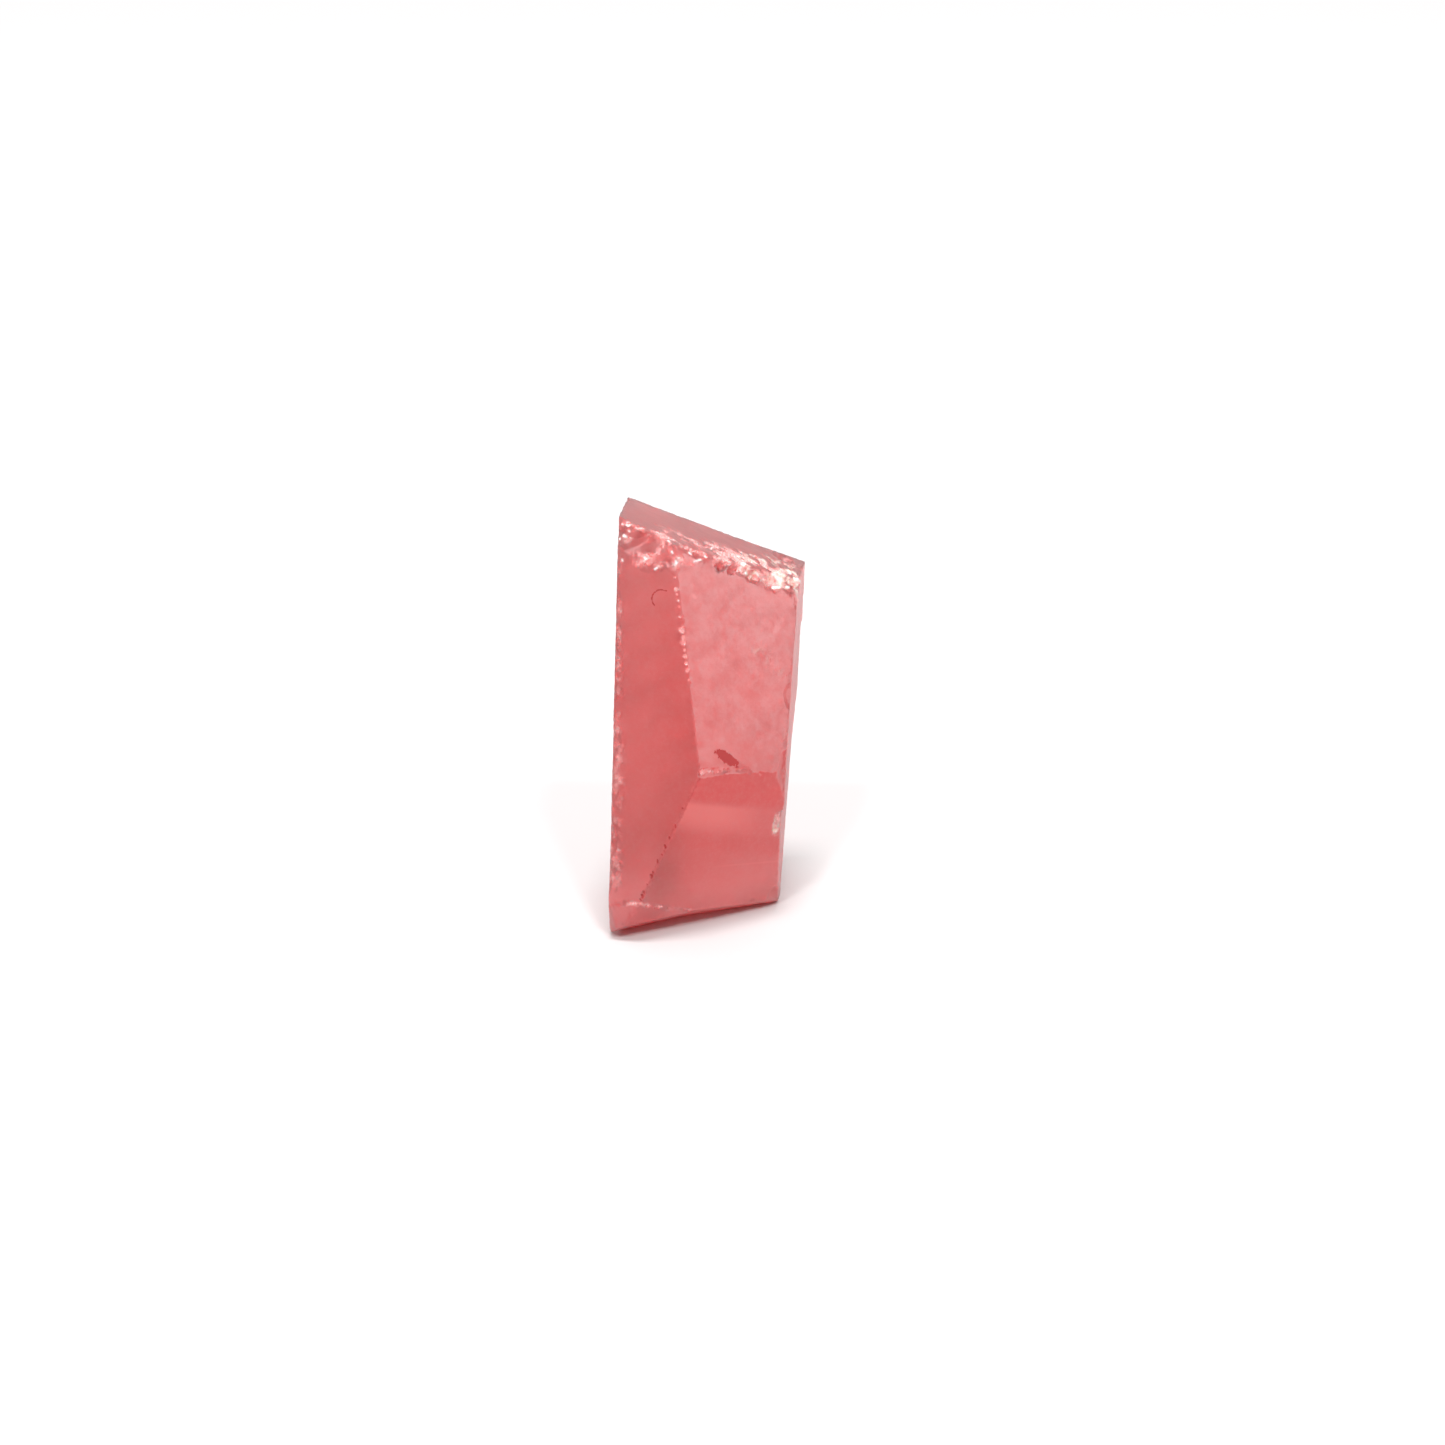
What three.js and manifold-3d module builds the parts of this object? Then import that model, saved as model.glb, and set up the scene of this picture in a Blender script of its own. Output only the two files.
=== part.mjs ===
// A rough padparadscha sapphire: one broken crystal of pink-orange corundum, about 16 mm tall,
// that stands on its broken foot. It is a single piece of stone, so it is a single solid.
//
// Units are millimetres and +Z is up. The front looks along -Y, and the origin is on the surface
// that the stone stands on, under the middle of its bounding box.
//
// The crystal is a block cut off by flat faces. Three of them meet in front, at the brow. Its back
// is a wavy fracture, its flanks have parted in thin ledges, shell-shaped bites are broken out of
// it where it was struck, and its edges are nibbled all along.

import * as THREE from "three";
import { mergeVertices } from "three/addons/utils/BufferGeometryUtils.js";
import { ImprovedNoise } from "three/addons/math/ImprovedNoise.js";
import Module from "manifold-3d";

const wasm = await Module();
wasm.setup();

// ---- Driving dimensions ----------------------------------------------------------------------

// Corners that the faces pass through: x, y, z.
const BROW = [-0.27, -4.1, 6.67]; // where the three front faces meet
const CREST_RIGHT = [3.3, -0.45, 12.92]; // front right end of the top
const CREST_BACK = [-2.87, 1.45, 15.68]; // back left corner of the top
const HEEL = [-3.59, -3.56, 1.38]; // where the left edge ends above the foot
const INSTEP = [-2.48, -3.85, 1.42]; // where the low front ridge ends above the foot
const TOE = [-3.34, -3.49, 0.3]; // the low front left corner, which stands clear of the ground
const ARCH = [-0.48, -2.33, 0.58]; // the highest point of the low front edge

// Each face looks out at a bearing, in degrees from the front towards the right, and leans up
// by an angle, in degrees. It passes through a point.
const FACES = {
  leftFront: { bearing: -16, lean: 4, through: BROW },
  rightFront: { bearing: 36.3, lean: 8.4, through: BROW },
  lowerFront: { bearing: 32, lean: -14.8, through: BROW },
  top: { bearing: 99.6, lean: 65.4, through: CREST_RIGHT },
  leftFlank: { bearing: -93.5, lean: 1.7, through: [-3.69, -3.56, 1.38] },
  rightFlank: { bearing: 84.6, lean: -2.6, through: [3.34, -0.45, 12.92] },
  rightFlankFoot: { bearing: 112, lean: -12, through: [2.97, 2.6, 3.3] },
  back: { bearing: -165, lean: 7.5, through: CREST_BACK },
  backLeft: { bearing: -128, lean: 2.5, through: [-2.2, 3.2, 5] },
  backFoot: { bearing: 178, lean: -38, through: [0, 4.1, 0.9] },
  heelLeft: { bearing: -14.4, lean: -7, through: HEEL },
  heelRight: { bearing: 26, lean: -30, through: INSTEP },
  heelSide: { bearing: -65, lean: -13.5, through: [-3.66, -3.56, 1.38] },
  foot: { bearing: 0, lean: -90, through: [0, 0, -0.2] },
};

// Under the front edge the stone has broken away, so that it stands on its back part. The break
// has two faces, which meet below the middle of the edge.
const UNDERCUT = [
  { bearing: 30.8, lean: -59.7, through: TOE },
  { bearing: 21.6, lean: -59.4, through: ARCH },
];

const BLOCK_SIDE = 40; // the blank that the faces are cut from

const LUMPS = { height: 0.9, pitch: 1.7 }; // of a bite's surface: height is times its depth

// The fracture behind: how far it goes into the stone, and the rings about the point of the blow.
const FRACTURE = {
  wide: 10,
  tall: 18.5,
  cell: 0.46,
  skin: 0.04, // the least that it takes off the flat face
  hollow: 0.34, // a long hollow down the middle
  ring: 0.075, // height of the rings
  ringPitch: 1.35, // from ring to ring
  blow: [5.2, -14.5], // across and up from the crest's back corner
  step: 0.3, // how much deeper it lies below the step
  stepLine: -6.2, // how far below the crest the step runs, where it starts
  stepSlope: 0.55, // how fast the step drops to the right
  fadeTop: 2.2, // the fracture flattens out this far below the crest
};

// Where a flank has parted: beyond the step, a layer of this depth is gone from the face.
const LEDGES = [
  { face: "leftFlank", depth: 0.15, step: { bearing: 165, lean: -12, through: [-3.3, 0.5, 9] } },
  { face: "leftFlank", depth: 0.32, step: { bearing: 155, lean: -38, through: [-3.3, 1.9, 5.4] } },
  { face: "rightFlank", depth: 0.12, step: { bearing: 160, lean: -50, through: [3.2, 1.4, 6.4] } },
];

// Bites that stand out, from the crest down to the foot. A bite is struck at a point on or near
// the surface and looks out at its own bearing and lean. It is depth deep at its middle, and the
// larger its radius the flatter it is. It may be stretched across or up.
const BITES = [
  // along the front of the crest, from the left
  { at: [-2.2, -2.97, 15.0], bearing: -12, lean: 26, radius: 1.15, depth: 0.3, wide: 1.15, detail: 5 },
  { at: [-3.1, -2.68, 15.45], bearing: -48, lean: 30, radius: 0.6, depth: 0.2, detail: 4 },
  { at: [-3.2, -2.7, 14.75], bearing: -40, lean: 5, radius: 0.4, depth: 0.1 },
  { at: [-2.0, -3.06, 14.3], bearing: -16, lean: 10, radius: 0.55, depth: 0.1 },
  { at: [-1.5, -3.17, 14.5], bearing: -10, lean: 15, radius: 0.5, depth: 0.14 },
  { at: [-1.2, -3.24, 14.85], bearing: 8, lean: 30, radius: 0.6, depth: 0.24, detail: 4 },
  { at: [-0.8, -2.95, 15.02], bearing: 28, lean: 40, radius: 0.5, depth: 0.15 },
  { at: [-0.35, -2.66, 14.82], bearing: 36, lean: 42, radius: 0.55, depth: 0.16, detail: 4 },
  { at: [0.05, -2.42, 14.6], bearing: 40, lean: 30, radius: 0.45, depth: 0.13 },
  { at: [0.75, -1.95, 14.42], bearing: 36, lean: 40, radius: 0.8, depth: 0.14, wide: 1.3, detail: 4 },
  { at: [1.4, -1.52, 14.05], bearing: 34, lean: 36, radius: 0.6, depth: 0.15 },
  // the crushed right end of the crest
  { at: [2.1, -1.05, 13.6], bearing: 38, lean: 34, radius: 0.85, depth: 0.28, detail: 5 },
  { at: [2.65, -0.72, 13.15], bearing: 44, lean: 30, radius: 0.8, depth: 0.24, detail: 4 },
  { at: [3.1, -0.42, 12.95], bearing: 60, lean: 35, radius: 0.65, depth: 0.26, detail: 4 },
  { at: [2.4, 0.5, 13.3], bearing: 80, lean: 68, radius: 0.9, depth: 0.14, wide: 1.6, detail: 4 },
  { at: [2.9, 2.4, 12.9], bearing: 165, lean: 60, radius: 0.5, depth: 0.16, detail: 4 },
  { at: [2.1, 3.1, 13.15], bearing: 175, lean: 60, radius: 0.6, depth: 0.1, wide: 1.5, detail: 4 },
  // the right edge
  { at: [2.79, -1.85, 5.8], bearing: 62, lean: -2, radius: 0.55, depth: 0.13, tall: 2.6, detail: 5 },
  { at: [2.66, -1.38, 3.8], bearing: 62, lean: -5, radius: 0.42, depth: 0.16, tall: 1.2, detail: 4 },
  { at: [2.92, -1.35, 8.9], bearing: 62, lean: 0, radius: 0.5, depth: 0.07, tall: 1.8, detail: 4 },
  { at: [2.62, -0.4, 0.5], bearing: 48, lean: -32, radius: 0.9, depth: 0.26, detail: 5 },
  // the left edge
  { at: [-3.45, -3.12, 7.66], bearing: -52, lean: 0, radius: 0.4, depth: 0.14 },
  { at: [-3.44, -3.18, 7.1], bearing: -48, lean: 0, radius: 0.5, depth: 0.1, tall: 1.5 },
  { at: [-3.5, -3.38, 4.3], bearing: -52, lean: 0, radius: 0.5, depth: 0.1, tall: 2, detail: 4 },
  { at: [-3.52, -3.48, 2.7], bearing: -52, lean: -4, radius: 0.45, depth: 0.1, tall: 1.6, detail: 4 },
  { at: [-3.3, -2.9, 11.6], bearing: -60, lean: 0, radius: 0.4, depth: 0.08, tall: 1.8 },
  // the back corners
  { at: [2.95, 3.5, 1.4], bearing: 140, lean: -30, radius: 1.5, depth: 0.4, detail: 6 },
  { at: [-2.6, 3.1, 0.5], bearing: -140, lean: -35, radius: 1.4, depth: 0.35, detail: 6 },
  { at: [-2.75, 1.75, 13.2], bearing: -135, lean: 15, radius: 1.5, depth: 0.34, tall: 1.5, detail: 6 },
  { at: [3.3, 3.2, 8.4], bearing: 135, lean: 5, radius: 1.1, depth: 0.3, tall: 1.6, detail: 5 },
];

// Nibbles along the edges: one about every so many mm, of a radius and depth drawn from a range.
const NIBBLES = { every: 0.5, radius: [0.14, 0.38], depth: [0.03, 0.1] };
const FINE_NIBBLES = { every: 0.36, radius: [0.1, 0.2], depth: [0.02, 0.06] };
const FINE_EDGES = [
  ["leftFront", "rightFront"],
  ["leftFront", "lowerFront"],
  ["rightFront", "lowerFront"],
];
const EDGE_ANGLE = 10; // degrees: the faces meet at less than this where there is no edge
const ON_FACE = 1e-3; // mm: how near to a face counts as on it

// The crushed crest: splinters broken out along a line, more of them towards the right.
const SPLINTERS = { count: 52, radius: [0.16, 0.44], depth: [0.06, 0.22], spread: 0.36 };
const SPLINTER_LINE = [
  [-1.3, -3.1, 14.95],
  [3.2, -0.4, 12.9],
];

// ---- Small tools -----------------------------------------------------------------------------

// The same draws each run: a small generator with a fixed start.
function dice(seed) {
  let state = seed;
  return (low = 0, high = 1) => {
    state = (state + 0x6d2b79f5) | 0;
    let mixed = Math.imul(state ^ (state >>> 15), 1 | state);
    mixed = (mixed + Math.imul(mixed ^ (mixed >>> 7), 61 | mixed)) ^ mixed;
    return low + ((high - low) * ((mixed ^ (mixed >>> 14)) >>> 0)) / 2 ** 32;
  };
}

const noise = new ImprovedNoise();

// The way out of a face, as a unit vector.
function outward({ bearing, lean }) {
  const turn = THREE.MathUtils.degToRad(bearing);
  const rise = THREE.MathUtils.degToRad(lean);
  return new THREE.Vector3(
    Math.sin(turn) * Math.cos(rise),
    -Math.cos(turn) * Math.cos(rise),
    Math.sin(rise),
  );
}

// A closed three.js geometry as a manifold solid.
function solid(geometry) {
  const bare = geometry.clone();
  bare.deleteAttribute("normal");
  bare.deleteAttribute("uv");
  const merged = mergeVertices(bare, 1e-5);
  return new wasm.Manifold(
    new wasm.Mesh({
      numProp: 3,
      vertProperties: new Float32Array(merged.attributes.position.array),
      triVerts: new Uint32Array(merged.index.array),
    }),
  );
}

// A manifold solid as a three.js geometry.
function geometryOf(body) {
  const { numProp, numVert, vertProperties, triVerts } = body.getMesh();
  const places = new Float32Array(numVert * 3);
  for (let i = 0; i < numVert; i++) {
    places.set(vertProperties.subarray(i * numProp, i * numProp + 3), i * 3);
  }
  const geometry = new THREE.BufferGeometry();
  geometry.setAttribute("position", new THREE.BufferAttribute(places, 3));
  return geometry.setIndex(new THREE.BufferAttribute(triVerts, 1));
}

// Turns a geometry's +Z to look a given way, keeps its +Y as upright as it can, and moves it.
function placed(geometry, way, point) {
  const across = new THREE.Vector3(0, 0, 1).cross(way);
  if (across.length() < 1e-6) across.set(1, 0, 0);
  across.normalize();
  const upward = way.clone().cross(across);
  const frame = new THREE.Matrix4().makeBasis(across, upward, way);
  return geometry.applyMatrix4(frame.setPosition(point));
}

// ---- The block and its faces -----------------------------------------------------------------

// All that lies beyond a face: a slab whose underside is the face.
function beyond(face) {
  const slab = new THREE.BoxGeometry(2 * BLOCK_SIDE, 2 * BLOCK_SIDE, BLOCK_SIDE);
  slab.translate(0, 0, BLOCK_SIDE / 2);
  return solid(placed(slab, outward(face), new THREE.Vector3(...face.through)));
}

function cutBlock() {
  const blank = solid(new THREE.BoxGeometry(BLOCK_SIDE, BLOCK_SIDE, BLOCK_SIDE));
  const block = Object.values(FACES).reduce((body, face) => body.subtract(beyond(face)), blank);
  const [left, right] = UNDERCUT.map(beyond);
  return block.subtract(left.intersect(right));
}

// ---- The fracture behind ---------------------------------------------------------------------

// How far the fracture goes into the stone, across and up from the crest's back corner.
function fractureDepth(across, up) {
  const f = FRACTURE;
  const flat = THREE.MathUtils.smoothstep(-up, 0.2, f.fadeTop);
  const fromBlow = Math.hypot(across - f.blow[0], up - f.blow[1]);
  const warp = 0.9 * noise.noise(across * 0.35, up * 0.35, 1.5);
  const strength = 0.55 + 0.45 * noise.noise(across * 0.3, up * 0.22, 5.5);
  const rings = f.ring * strength * (1 + Math.sin((2 * Math.PI * fromBlow) / f.ringPitch + warp));
  const swell = 0.5 + 0.5 * noise.noise(across * 0.28 + 4, up * 0.17, 2.5);
  const belowStep = f.stepLine - f.stepSlope * across - up + 0.25 * noise.noise(across, up, 7);
  const ledge = f.step * THREE.MathUtils.smoothstep(belowStep, 0, f.cell);
  return f.skin + flat * (rings + f.hollow * swell + ledge);
}

function fracture() {
  const { wide, tall, cell } = FRACTURE;
  const slab = new THREE.BoxGeometry(
    wide,
    tall,
    BLOCK_SIDE,
    Math.round(wide / cell),
    Math.round(tall / cell),
  );
  // The slab hangs from the crest's back corner and runs towards the stone's right, which is -X
  // in the frame of a face that looks back.
  slab.translate(-wide / 2 + 1, -tall / 2 + 1, BLOCK_SIDE / 2);
  const place = slab.attributes.position;
  for (let i = 0; i < place.count; i++) {
    if (place.getZ(i) > BLOCK_SIDE / 2) continue;
    place.setZ(i, -fractureDepth(-place.getX(i), place.getY(i)));
  }
  return solid(placed(slab, outward(FACES.back), new THREE.Vector3(...CREST_BACK)));
}

// ---- Ledges, bites and nibbles ---------------------------------------------------------------

// What has parted from a face beyond a step.
function ledge({ face, depth, step }) {
  const { bearing, lean, through } = FACES[face];
  const inward = outward(FACES[face]).multiplyScalar(-depth);
  const deeper = new THREE.Vector3(...through).add(inward).toArray();
  return beyond({ bearing, lean, through: deeper }).intersect(beyond(step));
}

// A lumpy ball that sits most of the way out of the stone, ready to be cut away. Its deepest
// point, at its own -Z, is on the mark, whatever its lumps are.
function ball({ at, bearing, lean, radius, depth, wide = 1, tall = 1, detail = 3 }, seed) {
  const shape = new THREE.IcosahedronGeometry(radius, detail);
  const lump = (x, y, z) => noise.noise(x + seed, y + 2 * seed, z);
  const place = shape.attributes.position;
  const point = new THREE.Vector3();
  for (let i = 0; i < place.count; i++) {
    point.fromBufferAttribute(place, i);
    const [x, y, z] = point.clone().multiplyScalar(LUMPS.pitch / radius).toArray();
    const swell = (LUMPS.height * depth * (lump(x, y, z) - lump(0, 0, -LUMPS.pitch))) / radius;
    point.multiplyScalar(1 + swell);
    place.setXYZ(i, point.x * wide, point.y * tall, point.z);
  }
  const way = outward({ bearing, lean });
  return solid(placed(shape, way, new THREE.Vector3(...at).addScaledVector(way, radius - depth)));
}

// A jagged pebble, turned at random, whose near side reaches depth below a point.
function splinter(point, way, radius, depth, draw) {
  const shape = new THREE.IcosahedronGeometry(radius, 0);
  const merged = mergeVertices(shape.deleteAttribute("normal").deleteAttribute("uv"), 1e-5);
  const place = merged.attributes.position;
  for (let i = 0; i < place.count; i++) {
    const scale = draw(0.85, 1.2);
    place.setXYZ(i, place.getX(i) * scale, place.getY(i) * scale, place.getZ(i) * scale);
  }
  merged.rotateX(draw(0, Math.PI)).rotateY(draw(0, Math.PI)).rotateZ(draw(0, Math.PI));
  const centre = point.clone().addScaledVector(way, radius - depth);
  return solid(merged.translate(centre.x, centre.y, centre.z));
}

// The named faces that a point lies on.
function facesAt(point) {
  return Object.keys(FACES).filter((name) => {
    const { through } = FACES[name];
    const offset = point.clone().sub(new THREE.Vector3(...through));
    return Math.abs(offset.dot(outward(FACES[name]))) < ON_FACE;
  });
}

function nibbles(body) {
  const draw = dice(11);
  const ends = new THREE.EdgesGeometry(geometryOf(body), EDGE_ANGLE).attributes.position;
  const found = [];
  for (let i = 0; i < ends.count; i += 2) {
    const start = new THREE.Vector3().fromBufferAttribute(ends, i);
    const end = new THREE.Vector3().fromBufferAttribute(ends, i + 1);
    const names = facesAt(start.clone().lerp(end, 0.5));
    const way = new THREE.Vector3();
    for (const name of names) way.add(outward(FACES[name]));
    way.normalize();
    const fine = FINE_EDGES.some((pair) => pair.every((name) => names.includes(name)));
    const { every, radius, depth } = fine ? FINE_NIBBLES : NIBBLES;
    const length = start.distanceTo(end);
    for (let run = every * draw(0.2, 1); run < length; run += every * draw(0.4, 1.6)) {
      const point = start.clone().lerp(end, run / length);
      found.push(splinter(point, way, draw(...radius), draw(...depth), draw));
    }
  }
  return found;
}

function crushedCrest() {
  const draw = dice(5);
  const [left, right] = SPLINTER_LINE.map((place) => new THREE.Vector3(...place));
  const { count, radius, depth, spread } = SPLINTERS;
  return Array.from({ length: count }, () => {
    const along = Math.sqrt(draw()); // more of them to the right
    const point = left.clone().lerp(right, along);
    point.z += draw(-spread, spread);
    const way = outward({ bearing: draw(20, 60), lean: draw(10, 60) });
    return splinter(point, way, draw(...radius), draw(...depth), draw);
  });
}

// ---- The stone -------------------------------------------------------------------------------

function stone() {
  const block = cutBlock();
  const taken = [
    fracture(),
    ...LEDGES.map(ledge),
    ...BITES.map((struck, i) => ball(struck, i)),
    ...nibbles(block),
    ...crushedCrest(),
  ];
  return geometryOf(taken.reduce((body, piece) => body.subtract(piece), block));
}

const geometry = stone();
geometry.computeBoundingBox();
const { min, max } = geometry.boundingBox;
geometry.translate(-(min.x + max.x) / 2, -(min.y + max.y) / 2, -min.z);
geometry.computeVertexNormals();

const crystal = new THREE.Mesh(
  geometry,
  new THREE.MeshStandardMaterial({ color: 0xd87a76, roughness: 0.35, metalness: 0 }),
);
crystal.name = "crystal";

const group = new THREE.Group();
group.add(crystal);

export default group;
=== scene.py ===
# A rough padparadscha sapphire: one upright broken crystal of pink-orange corundum, about 16 mm
# tall. It stands on its foot on a white table, in a bright tent of light.

import math

import bmesh
import bpy
import numpy as np
from mathutils import Matrix, Vector, kdtree, noise


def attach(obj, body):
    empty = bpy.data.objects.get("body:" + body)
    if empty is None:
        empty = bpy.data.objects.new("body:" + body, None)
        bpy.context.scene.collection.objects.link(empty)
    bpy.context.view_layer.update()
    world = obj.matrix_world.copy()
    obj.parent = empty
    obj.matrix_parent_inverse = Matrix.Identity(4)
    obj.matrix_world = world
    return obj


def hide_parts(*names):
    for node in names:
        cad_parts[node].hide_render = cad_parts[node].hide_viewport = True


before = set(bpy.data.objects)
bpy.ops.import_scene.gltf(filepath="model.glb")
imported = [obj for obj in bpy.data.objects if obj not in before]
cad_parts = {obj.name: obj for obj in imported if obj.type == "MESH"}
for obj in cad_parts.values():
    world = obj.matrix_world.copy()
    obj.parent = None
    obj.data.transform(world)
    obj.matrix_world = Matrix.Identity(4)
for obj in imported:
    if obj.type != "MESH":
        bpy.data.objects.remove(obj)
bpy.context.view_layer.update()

# ---- The stone's skin ------------------------------------------------------------------------
# One natural crystal, broken out of its rock and never cut or polished: flat parted faces with a
# waxy, slightly frosted skin, edges that are nibbled all along, and a crest that was crushed.

MM = 0.001  # metres in a millimetre, in which the stone is measured here
SKIN_CELL = 0.055  # mm between the points of its skin, before the flat faces are thinned out
SKIN_KEPT = 190000  # triangles of skin that are left then
SHARP = 17  # degrees: a bend of the block that is at least this sharp is an edge
EDGE_STEP = 0.05  # mm between the points kept along an edge
WAY_ROUNDS = 40  # how often the ways out of the stone are evened out with their neighbours'
CRUSH_ROUNDS = 12  # the same for the places of crushed skin, before it is dug into shards
NIBBLE_REACH = 0.3  # mm from an edge in which it is nibbled
GRAINS = ((0.3, 0.08), (0.14, 0.05))  # mm: how large a nibbled grain is, and how deep it goes
SHARDS = ((0.32, 0.05), (0.16, 0.035), (0.1, 0.025))  # the same, where the stone is crushed
WARP = 0.4  # how far grains and shards are pulled out of shape, as a share of their size
PORES = 0.01  # mm: how uneven the faces are

# Its flat faces: the bearing from the front that each looks out at, and how far up, in degrees.
UPPER_LEFT = (-16, 4)
UPPER_RIGHT = (36.3, 8.4)
LOWER_FRONT = (32, -14.8)
SLANTING_TOP = (99.6, 65.4)
RIGHT_FLANK = (84.6, -2.6)

# Where the stone is crushed: from, to, how far around it in mm, and how badly, up to 1.
CRUSHED = (
    ((-2.95, -2.7, 15.85), (-2.85, -2.75, 15.45), 0.36, 0.8),
    ((-2.6, -2.8, 15.9), (-1.4, -2.1, 15.35), 0.17, 0.75),
    ((-1.9, -2.6, 15.6), (-1.1, -2.5, 15.25), 0.45, 0.6),
    ((-2.0, -2.95, 15.6), (-1.35, -3.15, 15.1), 0.42, 0.6),
    ((-2.4, -2.95, 14.7), (-1.85, -3.1, 14.7), 0.4, 0.7),
    ((-1.45, -3.2, 15.1), (-1.15, -3.3, 14.6), 0.3, 0.5),
    ((-1.3, -1.3, 15.25), (-0.5, -1.4, 14.9), 0.75, 0.6),
    ((-0.8, -2.9, 14.95), (0.4, -2.2, 14.75), 0.55, 0.85),
    ((0.5, -1.9, 14.6), (1.4, -1.3, 14.2), 0.5, 0.8),
    ((0.6, -0.9, 14.4), (2.9, 0.2, 13.2), 1.2, 1.0),
    ((1.35, -1.4, 14.3), (3.1, -0.35, 13.35), 0.65, 1.0),
    ((2.9, 1.2, 13.1), (3.3, 1.2, 12.9), 1.2, 0.7),
    ((-3.29, -3.17, 8.0), (-3.45, -3.5, 2.4), 0.38, 0.42),
    ((-3.2, -2.8, 14.8), (-3.3, -3.1, 8.2), 0.2, 0.4),
    ((2.86, -1.6, 7.6), (2.62, -1.2, 3.4), 0.22, 0.5),
    ((2.66, -1.38, 4.15), (2.66, -1.36, 3.6), 0.3, 0.8),
    # These two rows paint the thin bright line along the heel's edge pale: a painted highlight.
    ((-3.39, -3.62, 1.6), (-2.5, -3.84, 1.64), 0.12, 0.85),
    ((-2.5, -3.84, 1.64), (-0.69, -2.44, 0.74), 0.12, 0.85),
    ((1.9, -1.78, 10.88), (3.0, -1.21, 9.55), 0.36, 0.3),
    ((-0.22, -4.08, 6.9), (0.5, -3.6, 6.82), 0.17, 0.5),
    ((0.5, -3.6, 6.8), (2.6, -2.23, 6.49), 0.08, 0.6),
)
# Flakes broken off the front ridges: where, and how wide in mm.
FLAKES = (
    ((-1.17, -3.37, 14.15), 0.07),
    ((-1.12, -3.4, 13.73), 0.11),
    ((-1.1, -3.42, 13.55), 0.07),
    ((-1.06, -3.45, 13.3), 0.08),
    ((-1.02, -3.48, 13.1), 0.06),
    ((-0.99, -3.53, 12.7), 0.09),
    ((-0.91, -3.58, 12.24), 0.17),
    ((-0.88, -3.61, 11.98), 0.11),
    ((-0.86, -3.62, 11.78), 0.14),
    ((-0.84, -3.64, 11.5), 0.08),
    ((-0.8, -3.66, 11.25), 0.12),
    ((-0.76, -3.68, 11.0), 0.08),
    ((-0.72, -3.69, 10.75), 0.1),
    ((-0.66, -3.74, 10.4), 0.08),
    ((-0.2, -4.08, 6.96), 0.13),
    ((0.1, -3.87, 6.86), 0.09),
    ((0.4, -3.66, 6.8), 0.07),
)
# Painted glints: spots on the crest painted near white, standing in for facets that catch the light:
# from, to, and how wide in mm.
GLINTS = (
    ((2.4, -0.93, 13.56), (2.77, -0.7, 13.25), 0.07),
    ((2.4, -1.03, 13.06), (2.66, -0.85, 13.0), 0.06),
    ((2.93, -0.66, 12.95), (2.99, -0.62, 12.93), 0.07),
    ((3.2, -0.41, 13.25), (3.44, -0.26, 13.08), 0.05),
    ((2.98, -0.5, 13.49), (3.08, -0.46, 13.45), 0.05),
    ((-0.66, -2.92, 14.96), (-0.58, -2.88, 14.92), 0.06),
    ((-0.45, -2.8, 14.6), (-0.24, -2.68, 14.63), 0.06),
    ((-0.07, -2.54, 14.7), (-0.02, -2.5, 14.66), 0.05),
    ((0.14, -2.32, 15.0), (0.2, -2.3, 15.04), 0.05),
    ((1.3, -1.62, 14.18), (1.36, -1.6, 14.14), 0.06),
    ((1.42, -1.6, 13.8), (1.46, -1.6, 13.76), 0.05),
    ((-3.08, -2.66, 15.98), (-3.04, -2.66, 15.94), 0.06),
    ((-2.92, -2.72, 15.96), (-2.84, -2.72, 15.92), 0.07),
    ((-2.83, -2.75, 15.74), (-2.79, -2.75, 15.7), 0.06),
    ((-3.0, -2.73, 15.56), (-2.92, -2.73, 15.5), 0.08),
    ((-3.2, -2.67, 15.5), (-3.16, -2.67, 15.4), 0.06),
    ((-3.24, -2.69, 15.06), (-3.2, -2.69, 14.98), 0.06),
    ((-3.09, -2.76, 14.66), (-3.05, -2.76, 14.6), 0.05),
    ((-2.26, -2.99, 14.8), (-2.2, -2.99, 14.74), 0.05),
    ((-1.9, -3.12, 14.4), (-1.82, -3.12, 14.44), 0.05),
    ((-1.42, -3.17, 15.53), (-1.36, -3.17, 15.49), 0.05),
    ((-1.28, -3.24, 15.11), (-1.24, -3.24, 15.05), 0.06),
    ((-1.14, -3.31, 14.76), (-1.1, -3.31, 14.7), 0.06),
)
# Nicks along the low front ridge, from the brow down, painted dark as shade in their pits: how far
# along, and how wide in mm.
LOW_RIDGE = np.array((-0.25, -4.09, 6.87)), np.array((-2.5, -3.85, 1.7))
NICKS = (
    (0.005, 0.09), (0.03, 0.05), (0.12, 0.04), (0.28, 0.06), (0.33, 0.04), (0.41, 0.08),
    (0.44, 0.05), (0.5, 0.09), (0.515, 0.06), (0.57, 0.1), (0.6, 0.07), (0.63, 0.05), (0.69, 0.1),
    (0.72, 0.05), (0.77, 0.06), (0.8, 0.09), (0.87, 0.06), (0.93, 0.08), (0.955, 0.1), (0.985, 0.07),
)


def toward(bearing, lean):
    """The unit vector that looks out at a bearing from the front, and up by a lean, in degrees."""
    turn, rise = math.radians(bearing), math.radians(lean)
    level = math.cos(rise)
    return np.array([math.sin(turn) * level, -math.cos(turn) * level, math.sin(rise)])


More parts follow.
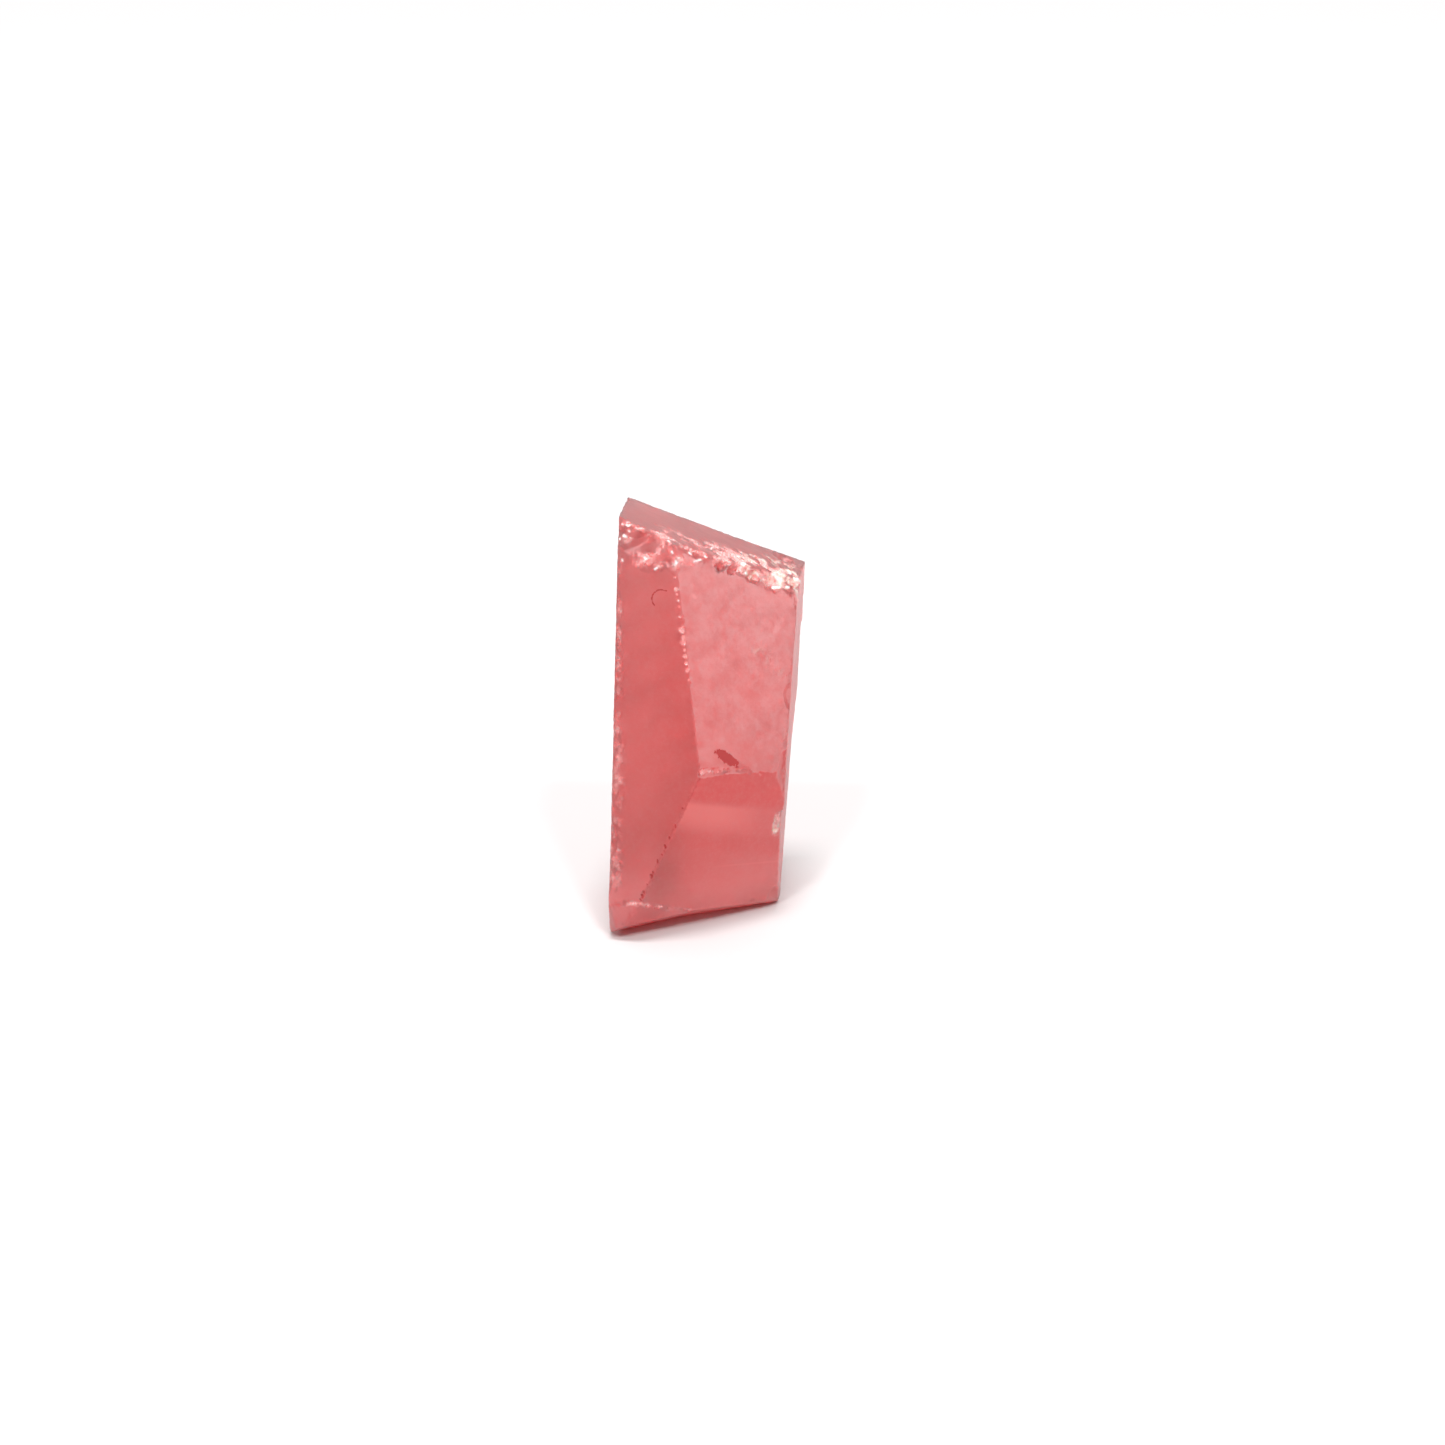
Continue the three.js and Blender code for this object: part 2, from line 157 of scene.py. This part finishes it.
def edge_points(mesh):
    """Points all along the sharp edges of the block."""
    block = bmesh.new()
    block.from_mesh(mesh)
    bmesh.ops.remove_doubles(block, verts=block.verts, dist=0.0001)
    found = []
    for edge in block.edges:
        if len(edge.link_faces) == 2 and edge.calc_face_angle_signed(0) > math.radians(SHARP):
            count = max(1, round(edge.calc_length() / EDGE_STEP))
            start, end = (corner.co for corner in edge.verts)
            found += [start.lerp(end, (i + 0.5) / count) for i in range(count)]
    block.free()
    return found


def edge_distance(points, found):
    tree = kdtree.KDTree(len(found))
    for i, place in enumerate(found):
        tree.insert(place, i)
    tree.balance()
    return np.array([tree.find(point)[2] for point in points.tolist()])


def evened(values, pairs, rounds):
    """Each point's values, evened out along the edges of the net."""
    count = len(values)
    ends, others = pairs.ravel(), pairs[:, ::-1].ravel()
    sharing = np.bincount(ends, minlength=count)[:, None]
    for _ in range(rounds):
        sums = [np.bincount(ends, values[others, i], count) for i in range(values.shape[1])]
        values = (values + np.stack(sums, 1) / sharing) / 2
    return values


def uneven(points, size, octaves):
    """Soft noise about as high as 1, with humps of about this size in mm."""
    return np.array([noise.fractal(p, 1.0, 2.0, octaves) for p in (points / size).tolist()])


def warped(points, size):
    pull = [noise.noise_vector(place) for place in (points / (0.8 * size)).tolist()]
    return points + WARP * size * np.array(pull)


def grains(points, size):
    """The grain that each point is in: how far off its middle is in grains, the way to it in mm,
    and three even random numbers of its own, the same on every run."""
    points = warped(points, size)
    found = [noise.voronoi(place) for place in (points / size).tolist()]
    away = np.array([fars[0] for fars, _ in found])
    middles = np.array([nears[0] for _, nears in found])
    turns = np.array([[7.3, 13.7, 29.1], [19.9, 5.3, 11.9], [3.1, 23.3, 17.7]])
    toss = np.sin(np.round(middles, 3) @ turns) * 915.7
    return away, points - middles * size, toss - np.floor(toss)


def near_line(points, start, end, reach):
    """1 on a line and 0 beyond its reach."""
    start, along = np.array(start), np.array(end) - np.array(start)
    share = np.clip((points - start) @ along / max(along @ along, 1e-9), 0, 1)
    away = np.linalg.norm(points - start - share[:, None] * along, axis=1)
    return np.clip(1 - (away / reach) ** 2, 0, 1)


def numbers(layer, name, width=3, kind=float):
    values = np.zeros(width * len(layer), kind)
    layer.foreach_get(name, values)
    return values.reshape(-1, width)


noise.seed_set(3)  # so that the skin comes out the same each time
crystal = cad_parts["crystal"]
solid = crystal.data.copy()
solid.transform(Matrix.Scale(1 / MM, 4))

stone = bpy.data.objects.new("rough_sapphire", solid)
bpy.context.scene.collection.objects.link(stone)
net = stone.modifiers.new("net", "REMESH")
net.mode = "VOXEL"
net.voxel_size = SKIN_CELL
skin = bpy.data.meshes.new_from_object(stone.evaluated_get(bpy.context.evaluated_depsgraph_get()))
stone.modifiers.clear()

points = numbers(skin.vertices, "co")
pairs = numbers(skin.edges, "vertices", 2, np.int32)
out = evened(numbers(skin.vertices, "normal"), pairs, WAY_ROUNDS)
out /= np.linalg.norm(out, axis=1)[:, None]
edge_away = edge_distance(points, edge_points(solid))

# Crushed stretches, in patches.
crush = np.zeros(len(points))
for start, end, reach, how in CRUSHED:
    crush = np.maximum(crush, how * near_line(points, start, end, reach) ** 0.7)
inside = crush > 0
part = points[inside]
patch = uneven(part, 0.45, 6)
points += np.minimum(1, 3 * crush)[:, None] * (evened(points, pairs, CRUSH_ROUNDS) - points)
crush[inside] *= np.clip(0.6 + 1.2 * patch, 0, 1)
part = points[inside]
dug = np.zeros(inside.sum())
for size, deep in SHARDS:
    _, off, toss = grains(part, size)
    tilt = (off * (2 * toss - 1)).sum(1)
    dug += np.clip(deep * toss[:, 0] + 0.6 * tilt, 0, 1.6 * deep)
sunk = np.zeros(len(points))
sunk[inside] = crush[inside] * dug

# Nibbled edges.
close = edge_away < NIBBLE_REACH
fade = (1 - edge_away[close] / NIBBLE_REACH) * (0.3 + 0.7 * crush[close])
for size, deep in GRAINS:
    away, _, toss = grains(points[close], size)
    scoop = np.clip(1 - (away / (0.3 + 0.4 * toss[:, 1])) ** 2, 0, 1)
    sunk[close] += deep * (toss[:, 0] > 0.4) * scoop * fade

# Flakes and nicks on the front ridges, with ragged outlines. The nicks are painted dark as shade in
# their pits, and a thin dark line runs along the low ridge.
dark = np.zeros(len(points))
front = points[:, 1] < -3
ragged = warped(points[front], 0.12)
pits, chips, cuts = np.zeros((3, front.sum()))
for place, wide in FLAKES:
    scoop = near_line(ragged, place, place, wide)
    pits += 0.3 * wide * scoop
    chips = np.maximum(chips, np.minimum(0.65, 1.3 * scoop))
for along, wide in NICKS:
    place = LOW_RIDGE[0] + along * (LOW_RIDGE[1] - LOW_RIDGE[0])
    scoop = near_line(ragged, place, place + (-0.3 * wide, 0, 1.1 * wide), 0.55 * wide)
    pits += 0.6 * wide * scoop
    cuts = np.maximum(cuts, np.minimum(1, 2 * scoop))
cuts = np.maximum(cuts, 0.45 * near_line(ragged, *LOW_RIDGE, 0.07))
sunk[front] += pits
crush[front] = np.maximum(crush[front], chips)
dark[front] = cuts

# Painted glints. The crest is chipped below the flat faces on which their places are given, so how
# deep they lie doesn't count.
inward = np.array((0, 0.94, -0.34))
flat = np.eye(3) - np.outer(inward, inward)
glint = np.zeros(len(points))
high = inside & (points[:, 2] > 12.5)
for start, end, wide in GLINTS:
    spot = near_line(points[high] @ flat, start @ flat, end @ flat, wide)
    glint[high] = np.maximum(glint[high], 0.9 * spot)

points += out * (PORES * uneven(points, 0.7, 3) - sunk)[:, None]
points[:, 2] = np.maximum(points[:, 2], 0)
points = np.round(points, 5)
skin.vertices.foreach_set("co", points.ravel())
for name, values in (("crush", crush), ("dark", dark), ("glint", glint)):
    values = np.round(values, 4)
    skin.attributes.new(name, "FLOAT", "POINT").data.foreach_set("value", values)
stone.data = skin
thin = stone.modifiers.new("thin", "DECIMATE")
thin.ratio = SKIN_KEPT / (2 * len(skin.polygons))
skin = bpy.data.meshes.new_from_object(stone.evaluated_get(bpy.context.evaluated_depsgraph_get()))
stone.modifiers.clear()
stone.data = skin

# What isn't joined to the tip is a speck that came loose in the net, and is dropped.
whole = bmesh.new()
whole.from_mesh(skin)
reached, fresh = set(), {max(whole.verts, key=lambda corner: corner.co.z)}
while fresh:
    reached |= fresh
    fresh = {edge.other_vert(corner) for corner in fresh for edge in corner.link_edges} - reached
loose = [corner for corner in whole.verts if corner not in reached]
bmesh.ops.delete(whole, geom=loose, context="VERTS")
whole.to_mesh(skin)
whole.free()

places = numbers(skin.vertices, "co")
places[:, 2] = np.maximum(places[:, 2], 0)
skin.vertices.foreach_set("co", places.ravel())
skin.transform(Matrix.Scale(MM, 4))
for polygon in skin.polygons:
    polygon.use_smooth = True
skin.set_sharp_from_angle(angle=math.radians(32))

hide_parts("crystal")
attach(stone, "root")


class Wire:
    """A socket of a node tree. Sums on it add Math nodes."""

    tree = None

    def __init__(self, socket):
        self.socket = socket

    @classmethod
    def node(cls, kind, settings=None, inputs=None, out=0):
        """Adds a node: its settings first, then the values or links of its sockets."""
        made = cls.tree.nodes.new(kind)
        for name, value in (settings or {}).items():
            setattr(made, name, value)
        for name, value in (inputs or {}).items():
            socket = made.inputs[name]
            if isinstance(value, cls):
                cls.tree.links.new(value.socket, socket)
            else:
                socket.default_value = value
        return cls(made.outputs[out]) if len(made.outputs) else made

    @classmethod
    def sum(cls, operation, *values):
        return cls.node("ShaderNodeMath", {"operation": operation}, dict(enumerate(values)))

    @classmethod
    def vector(cls, operation, *values, out=0, **named):
        return cls.node(
            "ShaderNodeVectorMath", {"operation": operation}, {**dict(enumerate(values)), **named}, out
        )

    @classmethod
    def along(cls, place, way):
        """How far a place lies along a fixed way."""
        return cls.vector("DOT_PRODUCT", place, tuple(way), out="Value")

    @classmethod
    def mix(cls, share, first, second):
        """One colour turning into another as share goes from 0 to 1."""
        first, second = [c if isinstance(c, cls) else (*c, 1) for c in (first, second)]
        return cls.node(
            "ShaderNodeMix", {"data_type": "RGBA"}, {0: share, 6: first, 7: second}, 2
        )

    def step(self, low, high):
        """Turns smoothly from 0 at low to 1 at high, or the other way round where low is higher."""
        ends = (0.0, 1.0) if low < high else (1.0, 0.0)
        return Wire.node("ShaderNodeMapRange", {"interpolation_type": "SMOOTHSTEP"}, {
            "Value": self, 1: min(low, high), 2: max(low, high), 3: ends[0], 4: ends[1],
        })

    def clamped(self):
        return Wire.node("ShaderNodeClamp", {}, {"Value": self})

    def square(self):
        return self * self

    def root(self):
        return Wire.sum("SQRT", self)

    def size(self):
        return Wire.sum("ABSOLUTE", self)

    def parts(self):
        split = Wire.node("ShaderNodeSeparateXYZ", {}, {0: self}).socket.node
        return [Wire(socket) for socket in split.outputs]

    def __add__(self, other):
        return Wire.sum("ADD", self, other)

    def __sub__(self, other):
        return Wire.sum("SUBTRACT", self, other)

    def __rsub__(self, other):
        return Wire.sum("SUBTRACT", other, self)

    def __mul__(self, other):
        return Wire.sum("MULTIPLY", self, other)

    __radd__, __rmul__ = __add__, __mul__


def sapphire():
    """Clear pink-orange stone under a waxy skin, pale and gritty where it is crushed."""
    material = bpy.data.materials.new("rough_sapphire")
    material.use_nodes = True
    Wire.tree = material.node_tree
    Wire.tree.nodes.clear()
    metres = Wire.node("ShaderNodeTexCoord", out="Object")
    place = Wire.vector("SCALE", metres, Scale=1 / MM)
    normal = Wire.node("ShaderNodeNewGeometry", out="Normal")
    x, y, z = place.parts()

    def facing(face):
        """1 on a flat face and 0 off it."""
        return Wire.along(normal, toward(*face)).step(0.95, 0.985)

    def noise_at(scale, detail, rough=0.55, where=place):
        return Wire.node("ShaderNodeTexNoise", {}, {
            "Vector": where, "Scale": scale, "Detail": detail, "Roughness": rough,
        }, out="Fac")

    left, right = facing(UPPER_LEFT), facing(UPPER_RIGHT)
    low, top = facing(LOWER_FRONT), facing(SLANTING_TOP)
    flank = facing(RIGHT_FLANK)
    # The growth of the crystal runs aslant down the upper right face.
    along = np.array((0.667, 0.373, -0.643))
    across = np.cross(toward(*UPPER_RIGHT), along)
    streaks = Wire.node("ShaderNodeCombineXYZ", {}, {
        0: Wire.along(place, 0.9 * along), 1: Wire.along(place, 1.6 * across), 2: 0.3 * z,
    })
    mottle = 0.5 * noise_at(1.2, 6.0, 0.75, streaks) + 0.5 * noise_at(2.6, 6.0, 0.75)
    mottle = mottle.step(0.36, 0.64)
    grain = noise_at(6.0, 5.0, 0.8) - 0.5
    cloud = noise_at(0.45, 2.0)
    speck = noise_at(16.0, 2.0)

    # Frost and painted sheen: the upper right face and the top are painted paler, more so towards the
    # top; partly a frosted skin, partly painted sheen from the light they catch.
    frost_and_sheen = right * (0.46 + 0.03 * (z - 7)) * (0.57 + 0.86 * mottle) + 0.12 * top
    frost_and_sheen = frost_and_sheen + 0.14 * z.step(9, 15.5) + 0.08 * mottle + 0.6 * grain
    # Painted glow: a bright band across the lower front face and a brighter patch near the brow,
    # standing in for light reflected and passed inside the crystal.
    slant = z + 0.385 * x
    painted_glow_band = slant.step(5.65, 5.3) * slant.step(3.9, 5.0) * (1 - 0.85 * x.step(0.4, 2.2)) * low
    painted_brow_glow = right * (1 - z.step(6.8, 9.2)) * (1 - x.step(-0.2, 2.5))
    painted_glow = (painted_glow_band + 0.45 * painted_brow_glow).clamped()
    # Painted shade: a dark band on the lower front face under the brow and a fainter one lower down;
    # the upper left face is also darkened towards its ridge.
    shade = 1.5 * low * slant.step(5.4, 5.8) + 0.6 * left * x.step(-2.2, -0.9)
    shade = shade + 0.6 * low * slant.step(4.4, 4.0) * slant.step(3.2, 3.7)
    # Painted light: low down the skin is painted brighter and redder, and made more matt, lifting the
    # shade by the foot; a faint pale straight line runs across it.
    line = ((z + 0.185 * x) - 2.62).size().step(0.07, 0.01) * low * x.step(-0.4, 1.2)
    painted_low_light = 0.75 * z.step(3.4, 0.3) + 0.3 * line

    # A flake of dark mineral under the upper right face, and a hair-thin curl of a crack.
    off = Wire.vector("SUBTRACT", place, (0.67, -3.32, 7.235))
    u, v = Wire.along(off, along / 0.62), Wire.along(off, across / 0.2)
    fray = noise_at(5.0, 5.0, 0.75)
    flake = (u * u + v * v + 2.6 * (fray - 0.5)).step(1.15, 0.8) * right
    smear = (0.3 * (u - 1.4).square() + v * v + 2.6 * (fray - 0.5)).step(1.1, 0.4) * right
    ring = ((x + 1.62).square() + (z - 13.3).square()).root() + 0.08 * (noise_at(3.0, 2.0) - 0.5)
    open_side = (0.6 * (z - 13.3) - 0.8 * (x + 1.62)).step(0.04, 0.09)
    crack = (ring - 0.37).size().step(0.04, 0.012) * open_side * left
    crack = crack * noise_at(7.0, 1.0).step(0.35, 0.5)

    red = Wire.mix(cloud, (0.77, 0.25, 0.25), (0.82, 0.31, 0.305))
    # Painted shade: the lower front face, which leans down, is darker and deeper red.
    red = Wire.mix(0.6 * low, red, (0.72, 0.19, 0.19))
    red = Wire.mix(painted_glow, red, (1, 0.42, 0.4))
    red = Wire.mix(0.6 * shade, red, (0.74, 0.13, 0.13))
    red = Wire.mix(frost_and_sheen.clamped(), red, (0.92, 0.67, 0.67))
    red = Wire.mix(painted_low_light, red, (1, 0.42, 0.42))
    left_foot = left * z.step(4.5, 1.5)
    # Painted light: the foot is painted brighter and redder, and on the left it is also more matt.
    painted_heel_light = (0.8 * left_foot + z.step(1.9, 1.3) * x.step(-1.2, -2.4)).clamped()
    red = Wire.mix(painted_heel_light, red, (1, 0.24, 0.25))
    red = Wire.mix(0.4 * speck.step(0.66, 0.78), red, (0.95, 0.62, 0.6))
    # Painted shade: the dark nicks along the low ridge.
    dark = Wire.node("ShaderNodeAttribute", {"attribute_name": "dark"}, out="Fac")
    marks = (flake + 0.25 * smear + 0.85 * crack + 0.75 * dark).clamped()

    clear = Wire.node("ShaderNodeBsdfPrincipled", {}, {
        "Base Color": Wire.mix(marks, red, (0.5, 0.03, 0.035)),
        "Roughness": 0.4,
        "IOR": 1.77,
        "Specular Tint": (1, 0.65, 0.65, 1),
        "Transmission Weight": 0.8,
        "Subsurface Weight": 1.0,
        "Subsurface Radius": (1.0, 0.3, 0.3),
        "Subsurface Scale": 0.002,
    })
    # The flake is opaque, so it also shows in the mix; the dark nicks, painted shade, go in with it.
    mineral = Wire.node("ShaderNodeBsdfPrincipled", {}, {
        "Base Color": (0.42, 0.05, 0.05, 1),
        "Roughness": 0.6,
        "IOR": 1.3,
    })
    clear = Wire.node("ShaderNodeMixShader", {}, {0: 0.8 * marks, 1: clear, 2: mineral})
    # The frosted skin itself scatters light at the surface, with no gloss.
    matt = Wire.node("ShaderNodeBsdfPrincipled", {}, {
        "Base Color": Wire.mix(mottle, (0.82, 0.34, 0.34), (0.95, 0.5, 0.5)),
        "Roughness": 0.7,
        "Specular IOR Level": 0.1,
        "Subsurface Weight": 1.0,
        "Subsurface Radius": (1.0, 0.4, 0.4),
        "Subsurface Scale": 0.001,
    })
    # How much of the skin is matt: on the flank and with the frost, and also low down and on the left
    # foot, where it is painted light.
    matt_share = (0.15 + 0.5 * z.step(8, 13)) * flank + 0.22 * frost_and_sheen
    matt_share = (matt_share + 0.2 * painted_low_light + 0.14 * left_foot) * (1 - marks)
    clear = Wire.node("ShaderNodeMixShader", {}, {0: matt_share.clamped(), 1: clear, 2: matt})

    crushed = Wire.node("ShaderNodeAttribute", {"attribute_name": "crush"}, out="Fac")
    crushed = (crushed + 0.7 * (noise_at(4.0, 6.0, 0.75) - 0.5)).step(0.12, 0.75)
    # Each crumb of it has a facet of its own, and some of them catch the light.
    crumb = Wire.node("ShaderNodeTexVoronoi", {}, {"Vector": place, "Scale": 11.0}, out="Color")
    tilt = Wire.vector("SCALE", Wire.vector("SUBTRACT", crumb, (0.5, 0.5, 0.5)), Scale=0.5)
    facet = Wire.vector("NORMALIZE", Wire.vector("ADD", normal, tilt))
    cream = x.step(0.9, 1.7) * noise_at(1.5, 4.0).step(0.35, 0.6)
    pale = Wire.mix(noise_at(2.2, 4.0, 0.7).step(0.35, 0.7), (0.87, 0.34, 0.33), (0.9, 0.52, 0.5))
    pale = Wire.mix(cream, pale, (0.92, 0.7, 0.62))
    # Painted glints: the listed spots and some random crumbs are painted near white.
    glint = Wire.node("ShaderNodeAttribute", {"attribute_name": "glint"}, out="Fac")
    spark = (glint + 0.35 * crumb.parts()[0].step(0.86, 0.92)).clamped()
    pale = Wire.mix(spark, pale, (1, 0.97, 0.96))
    crumbs = Wire.node("ShaderNodeBsdfPrincipled", {}, {
        "Base Color": pale,
        "Roughness": 0.32,
        "IOR": 1.77,
        "Specular Tint": (1, 0.8, 0.8, 1),
        "Subsurface Weight": 1.0,
        "Subsurface Radius": (1.0, 0.4, 0.35),
        "Subsurface Scale": 0.0005,
        "Normal": facet,
    })
    surface = Wire.node("ShaderNodeMixShader", {}, {
        0: (0.92 * crushed + glint).clamped(), 1: clear, 2: crumbs,
    })
    inside = Wire.node("ShaderNodeVolumeAbsorption", {}, {
        "Color": (0.97, 0.1, 0.08, 1),
        "Density": 220.0,
    })
    Wire.node("ShaderNodeOutputMaterial", {}, {"Surface": surface, "Volume": inside})
    return material


stone.data.materials.clear()
stone.data.materials.append(sapphire())

# ---- The table -------------------------------------------------------------------------------
# Plain matt white paper, laid flat and wide enough that its edges stay out of sight. It isn't part
# of the stone.

TABLE = 1.2  # metres across
PAPER = (0.66, 0.66, 0.66, 1)

bpy.ops.mesh.primitive_plane_add(size=TABLE, location=(0, 0, 0))
table = bpy.context.object
table.name = "table"
paper = bpy.data.materials.new("white_paper")
paper.use_nodes = True
paper.node_tree.nodes["Principled BSDF"].inputs["Base Color"].default_value = PAPER
paper.node_tree.nodes["Principled BSDF"].inputs["Roughness"].default_value = 0.9
table.data.materials.append(paper)

# ---- The light -------------------------------------------------------------------------------
# A tent of light that is brighter overhead and behind, two soft boxes in front, which throw the
# faint shadows on both sides, and one soft box almost overhead.

LAMP_AWAY = 1.5  # metres from the stone to each soft box

world = bpy.data.worlds.new("tent")
bpy.context.scene.world = world
world.use_nodes = True
Wire.tree = world.node_tree
Wire.tree.nodes.clear()
way = Wire.node("ShaderNodeTexCoord", out="Generated")
_, back, up = way.parts()
roof = up.step(0.1, 0.9)
rear = back.step(-0.2, 0.6)
tent = Wire.node("ShaderNodeBackground", {}, {
    "Color": (1, 0.93, 0.93, 1), "Strength": 0.19 + 0.48 * roof + 0.41 * rear,
})
Wire.node("ShaderNodeOutputWorld", {}, {"Surface": tent})


def soft_box(name, bearing, lean, side, power):
    """A square lamp, its side in metres and its power in watts, that shines on the stone."""
    data = bpy.data.lights.new(name, "AREA")
    data.size = side
    data.energy = power
    lamp = bpy.data.objects.new(name, data)
    place = Vector(toward(bearing, lean)) * LAMP_AWAY
    lamp.location = place
    lamp.rotation_euler = place.to_track_quat("Z", "Y").to_euler()
    bpy.context.scene.collection.objects.link(lamp)


soft_box("left_box", -19, 50, 0.15, 6.4)
soft_box("right_box", 19, 50, 0.15, 6.4)
soft_box("top_box", 0, 79, 0.3, 14.2)

# ---- The camera ------------------------------------------------------------------------------
# A long lens that looks at the middle of the stone from the front, and down on it a little.

AIM = Vector((0.5483, -0.8257, 7.7)) * MM
AWAY = 130 * MM
VIEW_DOWN = 20  # degrees
SEEN = 53.8 * MM  # how wide a strip it takes in at that distance

eye = bpy.data.cameras.new("camera")
eye.sensor_width = 36
eye.lens = 36 * AWAY / SEEN
eye.clip_start = 0.001
camera = bpy.data.objects.new("camera", eye)
camera.location = AIM + AWAY * Vector(toward(0, VIEW_DOWN))
camera.rotation_euler = (camera.location - AIM).to_track_quat("Z", "Y").to_euler()
bpy.context.scene.collection.objects.link(camera)
bpy.context.scene.camera = camera
bpy.context.scene.view_settings.view_transform = "Standard"
